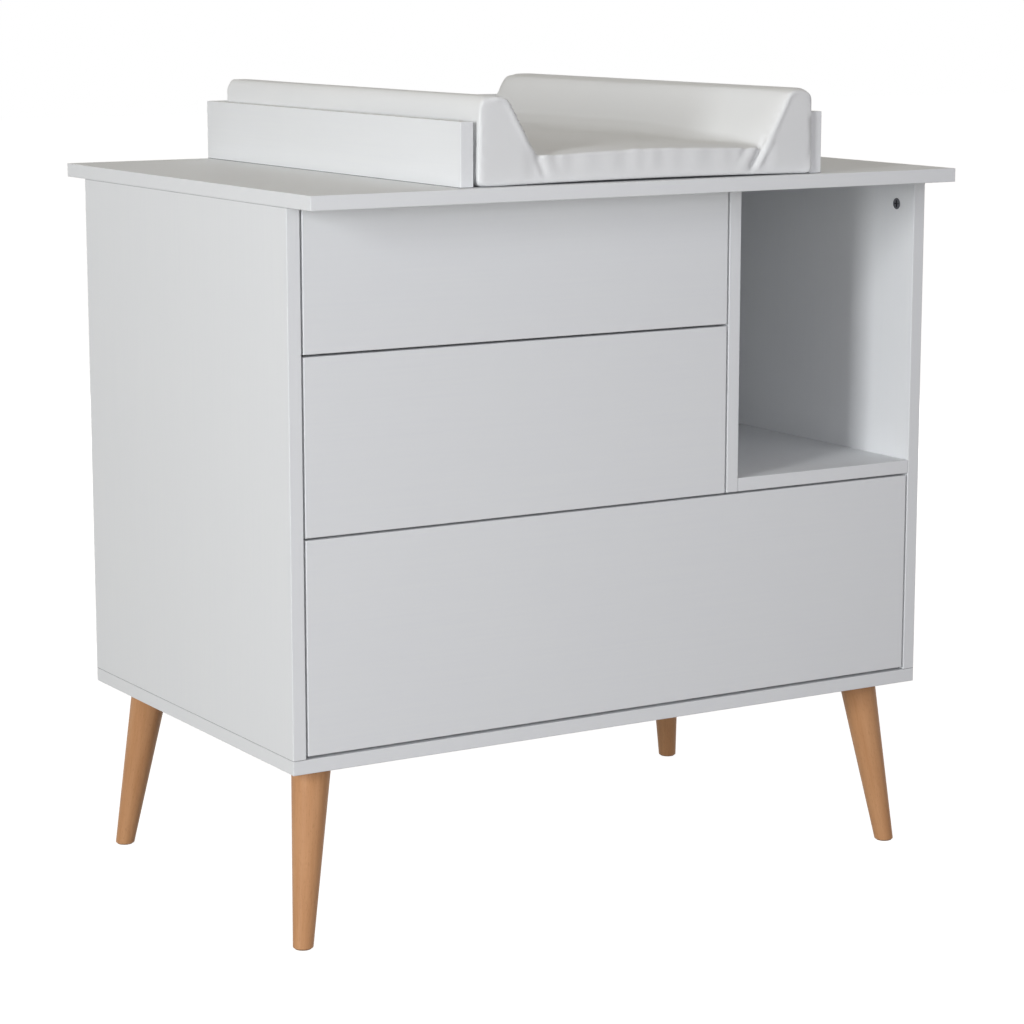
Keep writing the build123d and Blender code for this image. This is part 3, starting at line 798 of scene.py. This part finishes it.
class CoverWork:
    """The fitted mat's vertices while edges, pleats and creases are worked into the cover."""

    def __init__(self, piece):
        self.piece = piece
        self.places = points_of(piece)
        self.x = self.places[:, 0] - (mat_low.x + mat_high.x) / 2
        self.y = self.places[:, 1].copy()
        self.z = self.places[:, 2] - mat_low.z
        self.width = np.abs(self.x)
        self.from_front = self.y - self.y.min()
        self.normals = eased_normals(piece, cover_rounds)
        self.outward = np.maximum(self.normals[:, 0] * np.sign(self.x), 0.0)
        self.facing = -self.normals[:, 1]
        self.upward = self.normals[:, 2]
        self.off_side = 1.0 - smooth_step(self.outward, *outward_turn)

    def tight_edges(self):
        """Fill out the rounded edges near the front, apart from the upright outer ones."""
        lengthways = np.abs(self.facing)
        across = np.sqrt(np.maximum(1.0 - lengthways**2, 0.0))
        corner = 1.0 / np.maximum(lengthways, across) - 1.0
        near = (1.0 - smooth_step(self.from_front, *edge_depth)) * smooth_step(self.z, *edge_height)
        upright = (1.0 - self.off_side) * (1.0 - smooth_step(self.upward, *level_turn))
        return edge_tightness * corner * near * (1.0 - upright)

    def pleats(self):
        """Soft upright pleats in the front, between the raised sides."""
        face = smooth_step(self.facing, *pleat_turn) * (1.0 - smooth_step(self.width, *pleat_span))
        wander = pleat_wander * np.sin(self.x * wander_pitch)
        waves = pleat_share * np.sin(self.x * pleat_pitch + wander)
        waves += (1.0 - pleat_share) * np.sin(self.x * broad_pitch + broad_phase)
        return pleat_size * waves * smooth_step(self.z, *pleat_height) * face

    def creases(self):
        """A slanting crease at each front corner, with swellings and a second fold beside it."""
        total = np.zeros(len(self.x))
        length = smooth_step(self.z, *crease_start) * (1.0 - smooth_step(self.z, *crease_end))
        for side, foot, slant, size in corner_creases:
            inward = (foot - self.x * side) - slant * (crease_level - self.z)
            fold = swelling_size * hump(inward, *swelling_hump)
            fold += size * ridge_share * hump(inward, *ridge_hump)
            fold -= size * hump(inward, *valley_hump)
            fold -= size * second_share * hump(inward, *second_hump) * smooth_step(self.z, *second_start)
            total += fold
        return total * length * smooth_step(self.facing, *crease_turn)

    def dips(self):
        """Shallow dips in the surface that the child lies on."""
        lying = smooth_step(self.upward, *lying_turn) * (1.0 - smooth_step(self.width, *lying_span))
        wander = dip_wander * np.sin(self.y * dip_wander_pitch)
        waves = np.sin(self.x * dip_pitch_across + wander) * np.sin(self.y * dip_pitch_along + dip_phase)
        return dip_size * waves * lying

    def press(self):
        """Move the cover along its normals, but not sideways where it faces a tray board."""
        push = self.normals.copy()
        push[:, 0] *= self.off_side
        size = self.tight_edges() + self.pleats() + self.creases() + self.dips()
        self.places += push * size[:, None]

    def ease_shoulders(self):
        """Even out the outer shoulders at the front."""
        shoulder = smooth_step(self.width, *shoulder_span) * smooth_step(self.z, *shoulder_height)
        shoulder *= 1.0 - smooth_step(self.from_front, *shoulder_depth)
        even = eased(self.piece, self.places, shoulder_rounds)
        self.places += (even - self.places) * shoulder[:, None]

    def lift_hem(self):
        """Lift the middle of the front hem off the top panel."""
        arch = np.clip(1.0 - ((self.x - hem_middle) / hem_half_width) ** 2, 0.0, 1.0)
        low_front = 1.0 - smooth_step(self.from_front, *hem_depth)
        low_front *= 1.0 - smooth_step(self.z, *hem_height)
        self.places[:, 2] += hem_lift * arch * low_front

    def draw_tips(self):
        """Draw the low front corners out."""
        for side in (-1.0, 1.0):
            reach = np.sqrt((self.x * side - tip_place) ** 2 + self.from_front**2 + self.z**2)
            tip = hump(reach, 0.0, tip_reach)
            self.places[:, 0] += tip_outwards * side * tip
            self.places[:, 1] -= tip_forwards * tip

    def stay_in_tray(self):
        """Keep the cover off the tray boards and above the top panel."""
        x, y, z = self.places.T
        self.places[:, 0] = np.clip(x, tray_left_face + tray_gap, tray_right_face - right_gap)
        self.places[:, 1] = np.minimum(y, mat_high.y + rear_limit)
        self.places[:, 2] = np.maximum(z, mat_low.z)


def work_cover(piece):
    """Tight end edges, soft pleats and corner creases at the front, and the lifted front hem."""
    work = CoverWork(piece)
    work.press()
    work.ease_shoulders()
    work.lift_hem()
    work.draw_tips()
    work.stay_in_tray()
    set_points(piece, work.places)


def make_changing_mat(cover):
    """A foam mat in a tight cover, swollen by cloth and then worked."""
    piece = copy_of_solid("changing_mat", "mat_padding")
    set_points(piece, points_of(piece) - normals_of(piece) * shrink)
    apply_modifier(piece, "REMESH", mode="VOXEL", voxel_size=voxel_size)
    swell(piece)
    apply_modifier(piece, "SMOOTH", factor=0.5, iterations=3)
    apply_modifier(piece, "SUBSURF", levels=1, render_levels=1)
    fill_tray(piece)
    work_cover(piece)
    bpy.ops.object.shade_smooth()
    piece.data.materials.clear()
    piece.data.materials.append(cover)
    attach(piece, "mat")
    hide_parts("changing_mat")


# Studio

plain_white = (1.0, 1.0, 1.0, 1.0)

# The floor's size in metres, its paint, and the glow that only the camera sees
floor_size = 40.0
floor_paint = (0.34, 0.33, 0.32, 1.0)
floor_glow = 0.94

# Light from all round: from the front and below, and from behind and above
cool_fill = (0.43, 0.425, 0.50, 1.0)
warm_fill = (0.20, 0.180, 0.134, 1.0)

# Lamps, aimed at one point: azimuth and elevation in degrees and distance from it, size, watts and tint
lamp_aim = Vector((0.0, 0.0, 0.6))
lamps = {
    "key_left": ((-66.0, 12.0, 6.5), (1.1, 2.8), 222.0, (0.985, 1.0, 1.01)),
    "fill_front": ((-17.0, 6.0, 3.0), (1.8, 1.6), 19.0, (0.985, 0.99, 0.985)),
    "overhead": ((-40.0, 82.0, 3.2), (2.4, 2.4), 10.0, (1.0, 0.96, 0.86)),
    "fill_rear": ((149.0, -1.0, 4.6), (1.8, 0.5), 70.0, (0.97, 0.99, 1.0)),
}

# Camera of the photograph, with its angles in degrees
view_azimuth = -31.43
view_elevation = 10.23
view_distance = 3.782
view_target = Vector((-0.1706, carcass_front, 0.5326))
lens_mm = 105.13
sensor_mm = 36.0


def make_floor():
    """A grey floor that shows white to the camera and keeps a soft shadow."""
    bpy.ops.mesh.primitive_plane_add(size=floor_size, location=(0.0, 0.0, 0.0))
    floor = bpy.context.object
    floor.name = "studio_floor"
    material = bpy.data.materials.new("studio_floor")
    material.use_nodes = True
    material.node_tree.nodes.clear()
    shading = Shading(material.node_tree)
    paint = shading.node("ShaderNodeBsdfDiffuse", {}, {"Color": floor_paint}, 0)
    glow_inputs = {"Color": plain_white, "Strength": shading.seen() * floor_glow}
    glow = shading.node("ShaderNodeEmission", {}, glow_inputs, 0)
    total = shading.node("ShaderNodeAddShader", {}, {0: paint, 1: glow}, 0)
    shading.node("ShaderNodeOutputMaterial", {}, {"Surface": total})
    floor.data.materials.append(material)


def make_world():
    """White behind the object; on it a fill that is cool from the front and warm from behind and above."""
    world = bpy.data.worlds.new("studio")
    bpy.context.scene.world = world
    world.use_nodes = True
    world.node_tree.nodes.clear()
    shading = Shading(world.node_tree)
    way = shading.node("ShaderNodeTexCoord", {}, {}, "Generated")
    x, y, z = shading.parts_of(way)
    stops = ((0.0, cool_fill), (1.0, warm_fill))
    tint = shading.node("ShaderNodeValToRGB", {"stops": stops}, {0: (y + z) * 0.5 + 0.5}, 0)
    fill = shading.node("ShaderNodeBackground", {}, {"Color": tint, "Strength": 1.0}, 0)
    white = shading.node("ShaderNodeBackground", {}, {"Color": plain_white, "Strength": 1.0}, 0)
    choice = shading.node("ShaderNodeMixShader", {}, {0: shading.seen(), 1: fill, 2: white}, 0)
    shading.node("ShaderNodeOutputWorld", {}, {"Surface": choice})


def direction(azimuth, elevation):
    """A way out from the object; azimuth 0 is straight in front, negative is to the left."""
    turn = math.radians(azimuth)
    rise = math.radians(elevation)
    return Vector((math.sin(turn) * math.cos(rise), -math.cos(turn) * math.cos(rise), math.sin(rise)))


def make_lights():
    """A tall key far to the left, a wide fill in front, a weak warm one overhead and one behind."""
    for name, ((azimuth, elevation, distance), size, power, tint) in lamps.items():
        lamp = bpy.data.lights.new(name, "AREA")
        lamp.shape = "RECTANGLE"
        lamp.size, lamp.size_y = size
        lamp.energy = power
        lamp.color = tint
        holder = new_object(name, lamp)
        holder.location = lamp_aim + direction(azimuth, elevation) * distance
        holder.rotation_euler = (lamp_aim - holder.location).to_track_quat("-Z", "Y").to_euler()


def make_camera():
    """The photograph's point of view."""
    camera = bpy.data.cameras.new("photo_camera")
    camera.lens = lens_mm
    camera.sensor_width = sensor_mm
    holder = new_object("photo_camera", camera)
    holder.location = view_target + direction(view_azimuth, view_elevation) * view_distance
    holder.rotation_euler = (math.pi / 2 - math.radians(view_elevation), 0.0, math.radians(view_azimuth))
    bpy.context.scene.camera = holder


make_camera()
finishes = dress_frame()
make_changing_mat(finishes["mat_cover"])
make_floor()
make_world()
make_lights()
bpy.context.scene.view_settings.view_transform = "Standard"
